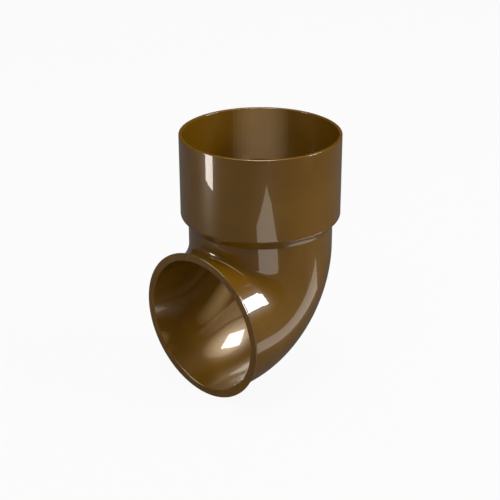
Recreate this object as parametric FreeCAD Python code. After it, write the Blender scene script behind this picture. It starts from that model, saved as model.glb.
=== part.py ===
import FreeCAD, Part

import math
import os

# Round downspout outlet elbow, moulded in one piece from rigid PVC.
# Millimetres, +Z up. The origin is on the socket's axis, level with the lower end of its bore, where
# the passage narrows and stops the pipe.
# The socket opens upwards, and the outlet faces -Y. Both sides of the YZ plane are the same.

Vector = FreeCAD.Vector

# The pipe that slips into the socket from above
pipe_diameter = 80.0
pipe_clearance = 0.3      # around the pipe, on each side

# The moulding
wall = 1.9
socket_depth = 43.3       # from the mouth down to the narrowing that stops the pipe
rim_chamfer = 0.4         # broken edges of the mouth
shoulder_step = 4.05      # how far the neck lies inside the socket
shoulder_angle = 40.0     # between the shoulder's slope and the socket's axis
shoulder_round = 2.1      # where the socket's outside turns in to the slope
neck_length = 12.88       # from the end of the slope to the start of the bend
bend_tuck = 4.85          # how far the bend's axis lies inside the tube's outside, so the throat is a corner
bend_angle = 88.0         # the outlet points 2 degrees below level
throat_radius = 2.5       # tightest hollow round, in the middle of the throat
outlet_length = 13.25     # straight run from the end of the bend to the outlet's face

# The bead round the outlet
lip_height = 2.3          # how far it stands out from the tube
lip_thickness = 1.5       # along the outlet, with a fully rounded outer edge
outlet_chamfer = 0.4      # broken inner edge of the outlet

# Sizes that follow
bore_radius = pipe_diameter / 2 + pipe_clearance
socket_radius = bore_radius + wall
tube_radius = socket_radius - shoulder_step
passage_radius = tube_radius - wall
bend_radius = tube_radius - bend_tuck
slope = math.radians(shoulder_angle)
slope_drop = (wall + (bore_radius - tube_radius) * math.cos(slope)) / math.sin(slope)
narrowing_drop = slope_drop - wall * math.tan(slope / 2)
bend_start = slope_drop + neck_length
turn = math.radians(bend_angle)
bend_axis = Vector(0, -bend_radius, -bend_start)
outlet_way = Vector(0, -math.sin(turn), -math.cos(turn))
bend_end = bend_axis + Vector(0, math.cos(turn), -math.sin(turn)) * bend_radius


def straight(start, end):
    return Part.Edge(Part.LineSegment(start, end))


def turned(points, rounds):
    """A ring about Z with this section. A stretch that starts at a point in rounds is an arc.

    Points are pairs, out from the axis and up. rounds gives such an arc's middle point.
    """
    edges = []
    for start, end in zip(points, points[1:] + points[:1]):
        ends = [Vector(start[0], 0, start[1]), Vector(end[0], 0, end[1])]
        if start in rounds:
            out, up = rounds[start]
            edges.append(Part.Edge(Part.Arc(ends[0], Vector(out, 0, up), ends[1])))
        else:
            edges.append(straight(*ends))
    section = Part.Face(Part.Wire(edges))
    return section.revolve(Vector(0, 0, 0), Vector(0, 0, 1), 360)


def socket():
    """Rim, straight bore and sloping shoulder, as thick as the walls, down to the neck."""
    slope_radius = socket_radius - shoulder_round * (1 - math.cos(slope))
    slope_top = (slope_radius, (slope_radius - tube_radius) / math.tan(slope) - slope_drop)
    round_centre = (socket_radius - shoulder_round, slope_top[1] + shoulder_round * math.sin(slope))
    round_top = (socket_radius, round_centre[1])
    round_middle = (
        round_centre[0] + shoulder_round * math.cos(slope / 2),
        round_centre[1] - shoulder_round * math.sin(slope / 2),
    )
    section = [
        (bore_radius, 0),
        (bore_radius, socket_depth - rim_chamfer),
        (bore_radius + rim_chamfer, socket_depth),
        (socket_radius - rim_chamfer, socket_depth),
        (socket_radius, socket_depth - rim_chamfer),
        round_top,
        slope_top,
        (tube_radius, -slope_drop),
        (passage_radius, -slope_drop),
        (passage_radius, -narrowing_drop),
    ]
    return turned(section, {round_top: round_middle})


def outlet_ring():
    """The bead and the last stretch of the outlet, turned about Z and then laid along the outlet."""
    bead_round = lip_thickness / 2
    bead_radius = tube_radius + lip_height
    bead_top = (bead_radius - bead_round, 0)
    section = [
        (passage_radius, -lip_thickness),
        (passage_radius, -outlet_chamfer),
        (passage_radius + outlet_chamfer, 0),
        bead_top,
        (bead_radius - bead_round, -lip_thickness),
    ]
    ring = turned(section, {bead_top: (bead_radius, -bead_round)})
    face_centre = bend_end + outlet_way * outlet_length
    ring.Placement = FreeCAD.Placement(face_centre, FreeCAD.Rotation(Vector(0, 0, 1), outlet_way))
    return ring


def product(first, second):
    """Control values of the product of two curves that are given by their control values."""
    m = len(first) - 1
    n = len(second) - 1
    values = []
    for k in range(m + n + 1):
        total = 0
        for i in range(max(0, k - n), min(m, k) + 1):
            total += math.comb(m, i) * math.comb(n, k - i) * first[i] * second[k - i]
        values.append(total / math.comb(m + n, k))
    return values


def blend_reach(radius, tightest):
    """Where the throat's blend begins: how far in front of the tube's middle, and how far to each side."""
    front = radius - 2 * (tightest - bend_radius + radius)
    return front, math.sqrt(radius * radius - front * front)


def throat_surface(radius, tightest):
    """Blend of the neck into the top of the outlet, where the bend is too tight for a round throat.

    Cut by a plane across the bend axis, the tube shows two straight walls that meet over the axis at
    a corner. The blend is an arc in each such cut, touching both walls. Towards the sides the arc
    grows into the bend's own hollow, and its radius is smallest in the middle. The surface is exact:
    a circle one way, and a product of quadratic curves the other.
    """
    front, half_width = blend_reach(radius, tightest)
    own_hollow = bend_radius - front
    lean = front / radius
    middle = Vector(0, -1, math.tan(turn / 2))
    ways = [Vector(0, -1, 0), middle, Vector(0, -math.cos(turn), math.sin(turn))]
    way_weights = [1, math.cos(turn / 2), 1]

    scale = [1, lean, 1]
    depth = [0, radius - front * lean, 0]
    scale_scale = product(scale, scale)
    across = product([-half_width, 0, half_width], scale)
    depth_scale = product(depth, scale)
    depth_depth = product(depth, depth)

    poles = []
    weights = []
    for way, way_weight in zip(ways, way_weights):
        row = []
        row_weights = []
        for k, weight in enumerate(scale_scale):
            push = depth_depth[k] / (2 * (radius - front))
            hollow = own_hollow * weight - depth_scale[k] + push
            point = middle * push - way * hollow
            row.append(bend_axis + (Vector(across[k], 0, 0) + point) * (1 / weight))
            row_weights.append(weight * way_weight)
        poles.append(row)
        weights.append(row_weights)
    surface = Part.BSplineSurface()
    surface.buildFromPolesMultsKnots(
        poles, [3, 3], [5, 5], [0, 1], [0, 1], False, False, 2, 4, weights
    )
    return surface.toShape()


def throat_block(radius, tightest):
    """The blend surface, closed by plain faces down to a line well inside the tube."""
    blend = throat_surface(radius, tightest)
    front, half_width = blend_reach(radius, tightest)
    outwards = Vector(0, math.cos(turn / 2), -math.sin(turn / 2))
    root = bend_axis + outwards * (bend_radius + front / 2)
    faces = [blend]
    for edge in blend.Edges:
        start = edge.Vertexes[0].Point
        end = edge.Vertexes[-1].Point
        if abs(start.x - end.x) > half_width:
            near = Vector(math.copysign(half_width, start.x), 0, 0)
            faces.append(Part.makeRuledSurface(edge, straight(root + near, root - near)))
        else:
            tip = root + Vector(math.copysign(half_width, start.x), 0, 0)
            faces.append(Part.Face(Part.Wire([edge, straight(end, tip), straight(tip, start)])))
    block = Part.makeSolid(Part.Shell(faces))
    if block.Volume < 0:
        block.reverse()
    return block


def bent_rod(radius, tightest):
    """Solid rod along the neck, the bend and the outlet, as thick as the given radius."""
    neck = Part.makeCylinder(radius, neck_length, Vector(0, 0, -bend_start))
    run = Part.makeCylinder(radius, outlet_length - lip_thickness, bend_end, outlet_way)
    circle = Part.Circle(Vector(0, 0, -bend_start), Vector(0, 0, 1), radius)
    section = Part.Face(Part.Wire(Part.Edge(circle)))
    section.rotate(Vector(0, 0, -bend_start), Vector(0, 0, 1), -90)
    if radius > bend_radius:
        corner = Vector(-2 * radius, -bend_radius, -bend_start)
        keep = Part.makePlane(4 * radius, 2 * radius + bend_radius, corner)
        section = section.common(keep)
    bend = section.revolve(bend_axis, Vector(-1, 0, 0), bend_angle)
    rod = neck.fuse([bend, run])
    if bend_radius - radius < tightest:
        rod = rod.fuse(throat_block(radius, tightest))
    return rod.removeSplitter()


def elbow():
    outside = bent_rod(tube_radius, throat_radius)
    passage = bent_rod(passage_radius, throat_radius + wall)
    tube = outside.cut(passage)
    return socket().fuse([tube, outlet_ring()]).removeSplitter()


os.makedirs("parts", exist_ok=True)
piece = elbow()
if piece.ShapeType == "Compound" and len(piece.Solids) == 1:
    piece = piece.Solids[0]
piece.exportStep("parts/downspout_elbow.step")
print("downspout_elbow", "valid", piece.isValid(), "solids", len(piece.Solids), "faces", len(piece.Faces))
print("volume mm3", round(piece.Volume, 1), "box", piece.BoundBox)
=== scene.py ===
# %% [markdown]
# # A moulded downspout elbow
# This scene dresses one CAD part. The elbow ends a rainwater pipe: the pipe slips into the wide
# socket on top, and the short outlet throws the water clear of the wall. It is moulded in one piece
# from brown PVC, so there is one body to model and one plastic to make.

# %% Load the frame
import math

import bmesh
import bpy
from mathutils import Matrix, Vector


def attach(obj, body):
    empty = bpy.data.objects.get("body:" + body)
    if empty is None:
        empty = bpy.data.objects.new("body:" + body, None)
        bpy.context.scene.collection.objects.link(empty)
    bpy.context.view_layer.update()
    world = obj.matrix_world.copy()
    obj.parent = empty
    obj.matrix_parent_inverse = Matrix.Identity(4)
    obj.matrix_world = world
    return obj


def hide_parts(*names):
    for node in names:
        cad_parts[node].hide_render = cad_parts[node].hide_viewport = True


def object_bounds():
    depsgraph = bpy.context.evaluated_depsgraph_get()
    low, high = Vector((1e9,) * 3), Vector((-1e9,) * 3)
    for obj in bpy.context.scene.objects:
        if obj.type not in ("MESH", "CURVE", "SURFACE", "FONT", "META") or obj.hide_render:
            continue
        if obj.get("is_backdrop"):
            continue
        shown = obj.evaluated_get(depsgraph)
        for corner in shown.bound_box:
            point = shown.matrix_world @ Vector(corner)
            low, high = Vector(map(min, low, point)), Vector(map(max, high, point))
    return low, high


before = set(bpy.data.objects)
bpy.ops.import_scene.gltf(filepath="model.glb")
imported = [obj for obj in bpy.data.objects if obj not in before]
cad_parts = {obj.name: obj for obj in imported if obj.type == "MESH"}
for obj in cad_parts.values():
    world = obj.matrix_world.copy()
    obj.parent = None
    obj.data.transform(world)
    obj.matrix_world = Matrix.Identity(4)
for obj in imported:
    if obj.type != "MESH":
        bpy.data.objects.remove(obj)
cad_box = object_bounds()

MM = 0.001
print("CAD box in mm:", [[round(value / MM, 2) for value in corner] for corner in cad_box])

# %% [markdown]
# ## The camera
# The picture was taken from the front right and from above, with a long lens. The camera comes
# first, because every later choice is judged through it. A camera looks along its own -Z, so
# `to_track_quat` turns that axis towards the point it aims at. The socket's axis is a little to the
# right of the picture's middle, and a small shift does that without turning the camera.

# %% Set up the camera
PICTURE_SIDE = 500
AXIS_OFFSET = 10.47
camera_place = Vector((415.4, -433.1, 249.7)) * MM
aim = Vector((0, 0, -23.3)) * MM
camera_data = bpy.data.cameras.new("camera")
camera_data.sensor_width = 36
camera_data.lens = 88.45
camera_data.shift_x = -AXIS_OFFSET / PICTURE_SIDE
camera = bpy.data.objects.new("camera", camera_data)
camera.location = camera_place
camera.rotation_euler = (aim - camera_place).to_track_quat("-Z", "Y").to_euler()
bpy.context.scene.collection.objects.link(camera)
bpy.context.scene.camera = camera
print("camera to elbow:", round((aim - camera_place).length / MM), "mm")

# %% [markdown]
# ## The elbow's sizes
# The CAD model is built from these sizes, and the visible piece must agree with it, so they are
# written out again here, in millimetres. The origin is where the bore ends and the narrowing
# passage stops the pipe. The socket rises from it, and the shoulder, the neck, the bend and the
# outlet follow below. First come the radii, then the heights, lengths and turns, then the bead.
# The small rounds are what moulded plastic has and the CAD model leaves out: a tool can't have
# perfectly sharp corners, and each one catches a thin line of light. The bead, too, is drawn more
# finely here than in the CAD model, where its rim is a plain half round.

# %% Write down the sizes
BORE = 40.3
SOCKET = 42.2
TUBE = 38.15
PASSAGE = 36.25
BEAD = 40.43

WALL = 1.9
MOUTH_HEIGHT = 43.3
SLOPE = math.radians(40)
SLOPE_DROP = (WALL + (BORE - TUBE) * math.cos(SLOPE)) / math.sin(SLOPE)
NARROWING_DROP = SLOPE_DROP - WALL * math.tan(SLOPE / 2)
NECK_LENGTH = 12.88
BEND_START = SLOPE_DROP + NECK_LENGTH
BEND_RADIUS = 33.3
TURN = math.radians(88)
THROAT = 2.5
OUTLET_LENGTH = 13.25

BEAD_THICKNESS = 1.5
BEAD_LAND = 0.5
BEAD_LEAN = math.radians(25)
BEAD_DROP = (BEAD_THICKNESS - BEAD_LAND) * math.tan(BEAD_LEAN)

RIM_ROUND = 0.45
SHOULDER_ROUND = 2.1
NECK_FILLET = 0.6
PASSAGE_ROUND = 0.3
BEAD_ROUND = 0.15
BEAD_FILLET = 0.3
OUTLET_ROUND = 0.4
print("passage:", 2 * PASSAGE, "mm across, bend:", round(math.degrees(TURN)), "degrees")

# %% [markdown]
# ## Rounded outlines
# The elbow is a tube whose outline changes along its way, so the work starts from outlines: pairs
# of a radius and a height. Each corner carries the radius of its round. A Bevel modifier could
# round the finished mesh instead, but rounds that are drawn into the outline have exact sizes and
# leave an even mesh. Two extra points beside each round keep smooth shading off the straight walls.

# %% Turn corners into rounds
ARC_STEPS = 8
GUARD = 0.01


def rounded(corners):
    """Points of an outline whose inner corners are (radius, height, round)."""
    points = [Vector(corners[0][:2])]
    for before, corner, after in zip(corners, corners[1:], corners[2:]):
        here = Vector(corner[:2])
        arc_radius = corner[2]
        back = (Vector(before[:2]) - here).normalized()
        on = (Vector(after[:2]) - here).normalized()
        half = back.angle(on) / 2
        reach = arc_radius / math.tan(half)
        centre = here + (back + on).normalized() * (arc_radius / math.sin(half))
        first = here + back * reach - centre
        last = here + on * reach - centre
        from_angle = math.atan2(first.y, first.x)
        sweep = math.remainder(math.atan2(last.y, last.x) - from_angle, math.tau)
        points.append(here + back * (reach + GUARD))
        for step in range(ARC_STEPS + 1):
            angle = from_angle + sweep * step / ARC_STEPS
            points.append(centre + Vector((math.cos(angle), math.sin(angle))) * arc_radius)
        points.append(here + on * (reach + GUARD))
    points.append(Vector(corners[-1][:2]))
    return points


test_round = rounded([(0, 0, 0), (10, 0, 2), (10, 10, 0)])
print("a test round:", [tuple(round(value, 2) for value in point) for point in test_round])

# %% [markdown]
# ## Walking along the tube
# The whole elbow is one skin: up the inside of the socket, over the rim, down the outside, round
# the bead and back through the passage. A lathe (the Screw modifier or a spin) could make the
# straight ends but not the bend between them. So a single ring of edges walks along the outline
# instead. At each point the ring is extruded and the new ring is scaled and shifted, which leaves
# a clean band of four-sided faces behind it, in the bend as well. It starts a little above the
# bore's lower end, and it will end there too.

# %% Make the ring and the step that extends it
SEGMENTS = 256
START_HEIGHT = 1


def extend(mesh, ring):
    """Extrudes a ring of edges in place and returns the new ring's vertices and edges."""
    grown = bmesh.ops.extrude_edge_only(mesh, edges=ring)["geom"]
    vertices = [item for item in grown if isinstance(item, bmesh.types.BMVert)]
    fresh = set(vertices)
    edges = [item for item in grown if isinstance(item, bmesh.types.BMEdge)]
    return vertices, [edge for edge in edges if fresh.issuperset(edge.verts)]


def walk(mesh, ring, outline, place):
    """Takes a ring along an outline of (radius, height) pairs, in the space that place sets up."""
    local = place.inverted()
    for (old_radius, old_height), (radius, height) in zip(outline, outline[1:]):
        vertices, ring = extend(mesh, ring)
        grow = radius / old_radius
        bmesh.ops.translate(mesh, verts=vertices, vec=(0, 0, -old_height * MM), space=local)
        bmesh.ops.scale(mesh, verts=vertices, vec=(grow, grow, 0), space=local)
        bmesh.ops.translate(mesh, verts=vertices, vec=(0, 0, height * MM), space=local)
    return ring


elbow = bmesh.new()
first_ring = bmesh.ops.create_circle(
    elbow, segments=SEGMENTS, radius=BORE * MM,
    matrix=Matrix.Translation((0, 0, START_HEIGHT * MM)),
)["verts"]
ring = list({edge for vertex in first_ring for edge in vertex.link_edges})
print("first ring:", len(ring), "edges,", 2 * BORE, "mm across")

# %% [markdown]
# ## The socket and its shoulder
# The bore takes an 80 mm pipe with a little clearance. On the outside the wall drops straight to
# the shoulder, turns in through a round and slopes down to the neck. The slope faces the ground and
# the dark neck, which leaves the dark crescent under the socket. A small hollow round joins the
# slope to the neck.

# %% Walk up the bore, over the rim and down to the neck
upright = Matrix.Identity(4)
socket_outline = rounded([
    (BORE, START_HEIGHT, 0),
    (BORE, MOUTH_HEIGHT, RIM_ROUND),
    (SOCKET, MOUTH_HEIGHT, RIM_ROUND),
    (SOCKET, (SOCKET - TUBE) / math.tan(SLOPE) - SLOPE_DROP, SHOULDER_ROUND),
    (TUBE, -SLOPE_DROP, NECK_FILLET),
    (TUBE, -BEND_START, 0),
])
ring = walk(elbow, ring, socket_outline, upright)
print("socket outline:", len(socket_outline), "points")

# %% [markdown]
# ## The bend
# A bend is a ring turned about an axis beside the tube. Here the axis lies inside the tube's own
# outside, so the front of a plainly turned ring would pass through itself: the real throat is no
# sweep but a corner, softened by a small hollow round.
# Each slice along the bend shows it: the neck's front wall and the outlet's top meet in a corner,
# and an arc has to touch both. Where the turned ring is too tight, its vertices are pushed out
# along the corner until their arc has the radius it needs. The push fades to nothing at the sides,
# so the blend runs smoothly into the bend.

# %% Turn the ring through the bend and soften the throat
BEND_STEPS = 48
bend_axis = Vector((0, -BEND_RADIUS, -BEND_START)) * MM
corner_way = Vector((0, -1, math.tan(TURN / 2)))


def hollow_radius(own_hollow, radius, tightest):
    """Radius of the throat's arc in the slice where a plainly turned ring has own_hollow."""
    blend_from = 2 * (tightest - BEND_RADIUS + radius)
    into = radius - BEND_RADIUS + own_hollow
    if into >= blend_from:
        return own_hollow
    depth = blend_from - into
    return BEND_RADIUS - radius + blend_from - depth + depth * depth / (2 * blend_from)


def turn_bend(mesh, ring, radius, tightest, sign):
    """Walks the ring round the bend, downwards for sign 1 and back up for sign -1."""
    start_vertices = list({vertex for edge in ring for vertex in edge.verts})
    rings = [start_vertices]
    step = Matrix.Rotation(-sign * TURN / BEND_STEPS, 3, "X")
    for _ in range(BEND_STEPS):
        vertices, ring = extend(mesh, ring)
        bmesh.ops.rotate(mesh, verts=vertices, cent=bend_axis, matrix=step)
        rings.append(vertices)
    for number, vertices in enumerate(rings):
        share = number / BEND_STEPS if sign > 0 else 1 - number / BEND_STEPS
        angle = TURN * share
        way = Vector((0, -math.cos(angle), math.sin(angle)))
        for vertex in vertices:
            own_hollow = -(vertex.co - bend_axis).dot(way) / MM
            pushed = hollow_radius(own_hollow, radius, tightest)
            vertex.co += (corner_way - way) * ((pushed - own_hollow) * MM)
    return ring


ring = turn_bend(elbow, ring, TUBE, THROAT, 1)
print("bend: tightest hollow", hollow_radius(BEND_RADIUS - TUBE, TUBE, THROAT), "mm")

# %% [markdown]
# ## The outlet and its bead
# After the bend the tube runs straight for a finger's width and ends in a bead, a small flange that
# stiffens the thin edge and sheds the last drops. Its rim is a narrow flat land, which shows the
# softbox as a thin bright line, and behind the land it leans in towards the tube.
# The same walk makes it, in a space that is turned with the outlet: there, too, the tube's axis is
# Z. Then it goes back through the passage, with the same bend one wall further in.

# %% Walk along the outlet, round the bead and back through the passage
turned = (
    Matrix.Translation(bend_axis)
    @ Matrix.Rotation(-TURN, 4, "X")
    @ Matrix.Translation(-bend_axis)
)
FACE = -BEND_START - OUTLET_LENGTH
outlet_outline = rounded([
    (TUBE, -BEND_START, 0),
    (TUBE, FACE + BEAD_THICKNESS, BEAD_FILLET),
    (BEAD - BEAD_DROP, FACE + BEAD_THICKNESS, BEAD_ROUND),
    (BEAD, FACE + BEAD_LAND, BEAD_ROUND),
    (BEAD, FACE, BEAD_ROUND),
    (PASSAGE, FACE, OUTLET_ROUND),
    (PASSAGE, -BEND_START, 0),
])
ring = walk(elbow, ring, outlet_outline, turned)
ring = turn_bend(elbow, ring, PASSAGE, THROAT + WALL, -1)
passage_outline = rounded([
    (PASSAGE, -BEND_START, 0),
    (PASSAGE, -NARROWING_DROP, PASSAGE_ROUND),
    (BORE, 0, PASSAGE_ROUND),
    (BORE, START_HEIGHT, 0),
])
ring = walk(elbow, ring, passage_outline, upright)
print("outlet outline:", len(outlet_outline), "points")

# %% [markdown]
# ## One closed skin
# The last ring has come back to the first, so merging the doubled vertices closes the skin. It must
# be watertight, because an open seam shows as a dark line and spoils the normals. A closed skin
# lets Blender work out which way is outwards. It is then shaded smooth.

# %% Close the skin and put it in the scene
MERGE_WITHIN = 0.001
bmesh.ops.remove_doubles(elbow, verts=elbow.verts, dist=MERGE_WITHIN * MM)
bmesh.ops.recalc_face_normals(elbow, faces=elbow.faces)
open_edges = sum(not edge.is_manifold for edge in elbow.edges)
volume = elbow.calc_volume() / MM**3
print("faces:", len(elbow.faces), "open edges:", open_edges, "volume mm3:", round(volume, 1))
elbow_mesh = bpy.data.meshes.new("moulded_elbow")
elbow.to_mesh(elbow_mesh)
elbow.free()
elbow_mesh.shade_smooth()
moulded_elbow = bpy.data.objects.new("moulded_elbow", elbow_mesh)
bpy.context.scene.collection.objects.link(moulded_elbow)
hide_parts("downspout_elbow")
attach(moulded_elbow, "root")

# %% [markdown]
# ## Building materials from nodes
# Every material here is a small network of nodes. One helper adds a node, sets its values and links
# its inputs, so that a network reads as a list. Colours are written as the hex values that a colour
# picker shows, and Blender wants linear light, so a second helper converts them.

# %% Make the two material helpers


def colour(code):
    """A hex colour as the linear values that Blender works in."""
    values = [int(code[i:i + 2], 16) / 255 for i in (1, 3, 5)]
    linear = [v / 12.92 if v <= 0.04045 else ((v + 0.055) / 1.055) ** 2.4 for v in values]
    return (*linear, 1)


def add(tree, kind, settings=None, links=None):
    """Adds a node, with values for its inputs or properties and links into its inputs."""
    node = tree.nodes.new(kind)
    for name, value in (settings or {}).items():
        if isinstance(name, int) or name in node.inputs:
            node.inputs[name].default_value = value
        else:
            setattr(node, name, value)
    for name, source in (links or {}).items():
        tree.links.new(source, node.inputs[name])
    return node


print("mid brown in linear light:", [round(value, 3) for value in colour("#64450E")])

# %% [markdown]
# ## Brown PVC, moulded and polished
# The elbow is rigid PVC, coloured through with an iron-oxide brown and moulded in a polished tool.
# What that gives the eye: a deep brown that turns golden where the piece lights itself, sharp
# reflections from the smooth skin, and a soft glow round them from the pigment just under it.
# One roughness can't give both, so the shader's own gloss is broad and the clear coat is sharp.
# The colour drifts slightly where the melt flowed, and the skin waves a little from shrinking. Each
# pattern has its real size, and each bump its real depth, in millimetres.

# %% Make the plastic
FLOW_SIZE = 30
WAVE_SIZE = 14
WAVE_DEPTH = 0.004
GRAIN_SIZE = 0.5
GRAIN_DEPTH = 0.002
pvc = bpy.data.materials.new("polished_brown_pvc")
pvc.use_nodes = True
tree = pvc.node_tree
tree.nodes.clear()
place = add(tree, "ShaderNodeTexCoord").outputs["Object"]
flow = add(
    tree, "ShaderNodeTexNoise",
    {"Scale": 1 / (FLOW_SIZE * MM), "Detail": 3, "Distortion": 0.6}, {"Vector": place},
)
brown = add(tree, "ShaderNodeValToRGB", links={"Fac": flow.outputs["Fac"]})
brown.color_ramp.elements[0].position = 0.35
brown.color_ramp.elements[0].color = colour("#644300")
brown.color_ramp.elements[1].position = 0.65
brown.color_ramp.elements[1].color = colour("#6B4901")
polish = add(
    tree, "ShaderNodeMapRange", {"To Min": 0.28, "To Max": 0.34}, {"Value": flow.outputs["Fac"]}
)
wave = add(
    tree, "ShaderNodeTexNoise", {"Scale": 1 / (WAVE_SIZE * MM), "Detail": 1}, {"Vector": place}
)
grain = add(
    tree, "ShaderNodeTexNoise", {"Scale": 1 / (GRAIN_SIZE * MM), "Detail": 2}, {"Vector": place}
)
waved = add(
    tree, "ShaderNodeBump", {"Strength": 1, "Distance": WAVE_DEPTH * MM},
    {"Height": wave.outputs["Fac"]},
)
grained = add(
    tree, "ShaderNodeBump", {"Strength": 1, "Distance": GRAIN_DEPTH * MM},
    {"Height": grain.outputs["Fac"], "Normal": waved.outputs["Normal"]},
)
plastic = add(
    tree, "ShaderNodeBsdfPrincipled",
    {
        "IOR": 1.53, "Specular IOR Level": 0.27,
        "Coat Weight": 1, "Coat Roughness": 0.02, "Coat IOR": 1.6,
    },
    {
        "Base Color": brown.outputs["Color"],
        "Roughness": polish.outputs["Result"],
        "Normal": grained.outputs["Normal"],
        "Coat Normal": waved.outputs["Normal"],
    },
)
add(tree, "ShaderNodeOutputMaterial", links={"Surface": plastic.outputs["BSDF"]})
elbow_mesh.materials.append(pvc)
print("plastic:", len(tree.nodes), "nodes")

# %% [markdown]
# ## The floor
# The elbow stands on a plain floor that reaches far enough to fill the picture, at the height of
# the CAD model's lowest point.

# %% Make the floor
FLOOR_RADIUS = 4000
floor = bmesh.new()
bmesh.ops.create_circle(
    floor, cap_ends=True, segments=96, radius=FLOOR_RADIUS * MM,
    matrix=Matrix.Translation((0, 0, cad_box[0].z)),
)
floor_mesh = bpy.data.meshes.new("floor")
floor.to_mesh(floor_mesh)
floor.free()
floor_object = bpy.data.objects.new("floor", floor_mesh)
bpy.context.scene.collection.objects.link(floor_object)
floor_object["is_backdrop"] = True
print("floor height:", round(cad_box[0].z / MM, 2), "mm")

# %% [markdown]
# ## White paper on the floor
# The floor is covered with matt white paper, which is pure white in the picture. More lamps could
# make it so, but they would burn out the brown too. Instead the Light Path node tells the rays
# apart. Camera rays, and rays that come through clear things, see white with a small share of the
# paper's own shading, which is where the elbow's shadow shows. The rays that light the elbow meet
# plain paper.
# Glossy rays meet a dim floor, because the real plastic mirrors a dark studio: its brown stays deep
# right beside the bright reflections. Near the elbow that glow is dimmer still: a painted shadow of
# the elbow, which only the gloss sees.

# %% Make the paper
WHITE_SHARE = 0.93
NEAR = 165
FAR = 190
PAINTED_SHADOW_GLOW = 0.085
FAR_GLOW = 0.12
paper = bpy.data.materials.new("matt_white_paper")
paper.use_nodes = True
tree = paper.node_tree
tree.nodes.clear()
path = add(tree, "ShaderNodeLightPath").outputs
lit = add(tree, "ShaderNodeBsdfDiffuse", {"Color": colour("#B4B2AE")})
white = add(tree, "ShaderNodeEmission", {"Color": (1, 1, 1, 1), "Strength": 1})
looked_at = add(
    tree, "ShaderNodeMath", {"operation": "MAXIMUM"},
    {0: path["Is Camera Ray"], 1: path["Is Transmission Ray"]},
)
seen_share = add(
    tree, "ShaderNodeMath", {"operation": "MULTIPLY", 1: WHITE_SHARE},
    {0: looked_at.outputs["Value"]},
)
seen = add(
    tree, "ShaderNodeMixShader", links={
        "Fac": seen_share.outputs["Value"], 1: lit.outputs["BSDF"], 2: white.outputs["Emission"]
    }
)
place = add(tree, "ShaderNodeTexCoord").outputs["Object"]
flat_place = add(
    tree, "ShaderNodeVectorMath", {"operation": "MULTIPLY", 1: (1, 1, 0)}, {0: place}
)
away = add(
    tree, "ShaderNodeVectorMath", {"operation": "LENGTH"}, {0: flat_place.outputs["Vector"]}
)
# Painted shadow: the floor's glow for glossy rays is dimmer near the elbow, where its shadow would
# fall.
far_light = add(
    tree, "ShaderNodeMapRange",
    {"From Min": NEAR * MM, "From Max": FAR * MM, "To Min": PAINTED_SHADOW_GLOW, "To Max": FAR_GLOW},
    {"Value": away.outputs["Value"]},
)
dim = add(
    tree, "ShaderNodeEmission", {"Color": (1, 1, 1, 1)}, {"Strength": far_light.outputs["Result"]}
)
mirrored = add(
    tree, "ShaderNodeMixShader", links={
        "Fac": path["Is Glossy Ray"], 1: seen.outputs["Shader"], 2: dim.outputs["Emission"]
    }
)
add(tree, "ShaderNodeOutputMaterial", links={"Surface": mirrored.outputs["Shader"]})
floor_mesh.materials.append(paper)
print("paper:", len(tree.nodes), "nodes")

# %% [markdown]
# ## The room
# The room behind the floor works in the same way: white to look at, pale grey for the rays that
# light the elbow from all round, and nearly black in its gloss. The Standard view shows colours as
# they are, so white stays white.

# %% Make the room
ROOM_LIGHT = 0.44
ROOM_GLOW = 0.02
room = bpy.data.worlds.new("pale_room")
room.use_nodes = True
tree = room.node_tree
tree.nodes.clear()
path = add(tree, "ShaderNodeLightPath").outputs
soft = add(tree, "ShaderNodeBackground", {"Color": (1, 1, 1, 1), "Strength": ROOM_LIGHT})
white = add(tree, "ShaderNodeBackground", {"Color": (1, 1, 1, 1), "Strength": 1})
dim = add(tree, "ShaderNodeBackground", {"Color": (1, 1, 1, 1), "Strength": ROOM_GLOW})
mirrored = add(
    tree, "ShaderNodeMixShader", links={
        "Fac": path["Is Glossy Ray"], 1: soft.outputs["Background"], 2: dim.outputs["Background"]
    }
)
looked_at = add(
    tree, "ShaderNodeMath", {"operation": "MAXIMUM"},
    {0: path["Is Camera Ray"], 1: path["Is Transmission Ray"]},
)
seen = add(
    tree, "ShaderNodeMixShader", links={
        "Fac": looked_at.outputs["Value"], 1: mirrored.outputs["Shader"],
        2: white.outputs["Background"],
    }
)
add(tree, "ShaderNodeOutputWorld", links={"Surface": seen.outputs["Shader"]})
bpy.context.scene.world = room
bpy.context.scene.view_settings.view_transform = "Standard"
print("room:", len(tree.nodes), "nodes")

# %% [markdown]
# ## Lamps
# Glossy plastic is lit by what it mirrors. A softbox to the right is the window on the bend, placed
# by the direction in which the bend shows it. One overhead lights the pigment from above, and one
# in front fills the shadows. Those two are kept out of the gloss, where the cards further down show
# instead, because a soft fill and a sharp reflection need different brightness.
# An area lamp's power is spread over its size, so the brightness of its face is what is set here.

# %% Place the softboxes
LAMP_DISTANCE = 1500


def lamp(name, place, way, size, radiance, roll=0, tint="#FFFFFF"):
    """An area lamp that faces back along way; place and size in mm, roll in degrees."""
    light = bpy.data.lights.new(name, "AREA")
    light.shape = "RECTANGLE"
    light.size = size[0] * MM
    light.size_y = size[1] * MM
    light.energy = radiance * math.pi * light.size * light.size_y
    light.color = colour(tint)[:3]
    lamp_object = bpy.data.objects.new(name, light)
    lamp_object.location = place * MM
    facing = way.to_track_quat("Z", "Y").to_matrix() @ Matrix.Rotation(math.radians(roll), 3, "Z")
    lamp_object.rotation_euler = facing.to_euler()
    lamp_object.visible_camera = False
    bpy.context.scene.collection.objects.link(lamp_object)
    return lamp_object


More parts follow.
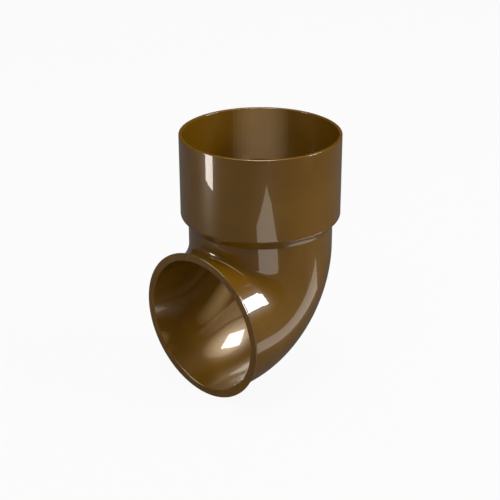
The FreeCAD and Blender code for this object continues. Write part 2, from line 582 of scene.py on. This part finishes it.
def softbox(name, azimuth, elevation, size, radiance, roll=0):
    """A large lamp that faces the elbow from far away; angles in degrees."""
    way = Matrix.Rotation(math.radians(azimuth), 3, "Z") @ Matrix.Rotation(
        math.radians(-elevation), 3, "Y") @ Vector((1, 0, 0))
    box = lamp(name, way * LAMP_DISTANCE, way, size, radiance, roll)
    print(name, "power", round(box.data.energy, 1), "W")
    return box


softbox("right_softbox", 35.2, 24.8, (540, 442), 20)
overhead = softbox("overhead_softbox", 0, 90, (509, 509), 12.5, 40)
overhead.visible_glossy = False
front = softbox("front_softbox", -80, 55, (600, 600), 4.2)
front.visible_glossy = False

# %% [markdown]
# ## Reflector cards
# A product photographer stands pale cards round a glossy thing, because their mirror images draw
# its shape: a streak on the socket, a tall patch down the socket and the neck, a curved band along
# the bend, and overhead the bright patch inside the outlet. The cards are flat shapes that glow.
# They are seen only in reflections, not by the camera, and they don't light the elbow, so their
# size and place can follow the images. The lower ones stand just above the floor.

# %% Place the reflector cards
LOW = -91.5
HIGH = 1500


def glowing(name, shape, radiance, tint="#FFF8EF"):
    """Makes a mesh glow, in reflections only, and returns the node that lights it."""
    card_mesh = bpy.data.meshes.new(name)
    shape.to_mesh(card_mesh)
    shape.free()
    glow = bpy.data.materials.new(name + "_glow")
    glow.use_nodes = True
    glow.node_tree.nodes.clear()
    light = add(glow.node_tree, "ShaderNodeEmission", {"Color": colour(tint), "Strength": radiance})
    add(glow.node_tree, "ShaderNodeOutputMaterial", links={"Surface": light.outputs["Emission"]})
    card_mesh.materials.append(glow)
    card_object = bpy.data.objects.new(name, card_mesh)
    card_object.visible_camera = False
    card_object.visible_diffuse = False
    card_object.visible_shadow = False
    bpy.context.scene.collection.objects.link(card_object)
    card_object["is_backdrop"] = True
    print(name, "faces:", len(card_mesh.polygons))
    return light


def flat(corners):
    """A flat sheet with these corners, in mm."""
    shape = bmesh.new()
    vertices = [shape.verts.new(Vector(corner) * MM) for corner in corners]
    bmesh.ops.contextual_create(shape, geom=vertices)
    return shape


def fade(light, point, full, none):
    """Lets the glow fade with the distance from a point on the card; all are in mm."""
    tree = light.id_data
    place = add(tree, "ShaderNodeTexCoord").outputs["Object"]
    away = add(
        tree, "ShaderNodeVectorMath", {"operation": "DISTANCE", 1: Vector(point) * MM}, {0: place}
    )
    brightest = light.inputs["Strength"].default_value
    share = add(
        tree, "ShaderNodeMapRange",
        {"From Min": none * MM, "From Max": full * MM, "To Max": brightest},
        {"Value": away.outputs["Value"]},
    )
    tree.links.new(share.outputs["Result"], light.inputs["Strength"])


glowing("left_streak", flat([
    (-193, -286, LOW), (-122, -304, LOW), (-122, -304, 147), (-193, -286, 147),
]), 10)
glowing("front_patch", flat([
    (276, -219, LOW), (172, -215, LOW), (132, -146, LOW), (183, -68, LOW), (212, -84, LOW),
    (245, -131, LOW), (268, -167, LOW),
]), 1.8)
glowing("right_band", flat([
    (137, 132, LOW), (65, 97, LOW), (65, 60, LOW), (70, -5, LOW), (109, 20, LOW),
    (114, 52, LOW), (129, 92, LOW),
]), 1.4)
glowing("overhead_card", flat([
    (359, -31, HIGH), (50, 356, HIGH), (-359, 31, HIGH), (13, -360, HIGH),
]), 19)

# %% [markdown]
# ## A halo round the overhead card
# The light overhead has a soft edge, which shows as a halo round the bright patch in the outlet. It
# is one more card, just above the last one, and its glow fades towards its rim.

# %% Place the halo
HALO_HEIGHT = HIGH + 10
HALO_REACH = 900
spill = glowing("overhead_spill", flat([
    (HALO_REACH, HALO_REACH, HALO_HEIGHT), (-HALO_REACH, HALO_REACH, HALO_HEIGHT),
    (-HALO_REACH, -HALO_REACH, HALO_HEIGHT), (HALO_REACH, -HALO_REACH, HALO_HEIGHT),
]), 5, "#FFE8C1")
fade(spill, (0, 0, HALO_HEIGHT), 250, HALO_REACH)
print("halo height:", HALO_HEIGHT, "mm")

# %% [markdown]
# ## Soft reflections inside the socket
# Inside, the plastic also mirrors its own walls, where they glow from the light that falls in.
# Faint lamps near the walls draw that glow. They show in the gloss but light no pigment.
# In the socket they stand side by side like the staves of a barrel, on the side towards the camera,
# because the far wall mirrors the near one. Away from the middle they get dimmer, with the cosine
# of the angle, so that no edge shows.

# %% Place the staves
TOWARDS_CAMERA = -46
STAVES_EACH_WAY = 7
STAVE_ANGLE = 10
STAVE_RADIUS = 35.5
STAVE_SIZE = (6.2, 36)
STAVE_RADIANCE = 1.4
BRIGHT_COSINE = 0.95
DARK_COSINE = 0.3
stave_middle = Vector((0, 0, 4))
for number in range(-STAVES_EACH_WAY, STAVES_EACH_WAY + 1):
    aside = number * STAVE_ANGLE
    turning = Matrix.Rotation(math.radians(TOWARDS_CAMERA + aside), 3, "Z")
    way = turning @ Vector((1, 0, 0))
    share = (math.cos(math.radians(aside)) - DARK_COSINE) / (BRIGHT_COSINE - DARK_COSINE)
    stave = lamp(
        "socket_stave", way * STAVE_RADIUS + stave_middle, way, STAVE_SIZE,
        STAVE_RADIANCE * min(share, 1), 0, "#FFDBAA",
    )
    stave.visible_diffuse = False
print("lamps:", len(bpy.data.lights))

# %% [markdown]
# ## A soft reflection inside the outlet
# Seen through the outlet, the back of the bend mirrors the wall at its right. Larger and larger
# faint ovals lie there one behind the other, which makes a single patch that fades outwards.

# %% Place the ovals
OVALS = 7
OVAL_WIDTH = 3.6
OVAL_HEIGHT = 6.4
OVAL_RADIANCE = 0.24
OVAL_OUT = 31.5
OVAL_GAP = 0.3
for number in range(1, OVALS + 1):
    disc = lamp(
        "outlet_disc", Vector((OVAL_OUT + OVAL_GAP * number, -4, -32)), Vector((1, 0, 0)),
        (OVAL_WIDTH * number, OVAL_HEIGHT * number), OVAL_RADIANCE, 0, "#FFD79A",
    )
    disc.data.shape = "ELLIPSE"
    disc.visible_diffuse = False
print("lamps:", len(bpy.data.lights))

# %% [markdown]
# ## The size
# The visible piece has to be as large as the CAD model. Its box is gathered beside the CAD model's
# and printed.

# %% Gather the two boxes and print the visible one
boxes = {
    "cad": [list(corner) for corner in cad_box],
    "visual": [list(corner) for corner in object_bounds()],
}
visual_box = [[round(value / MM, 2) for value in corner] for corner in boxes["visual"]]
print("visual box in mm:", visual_box)
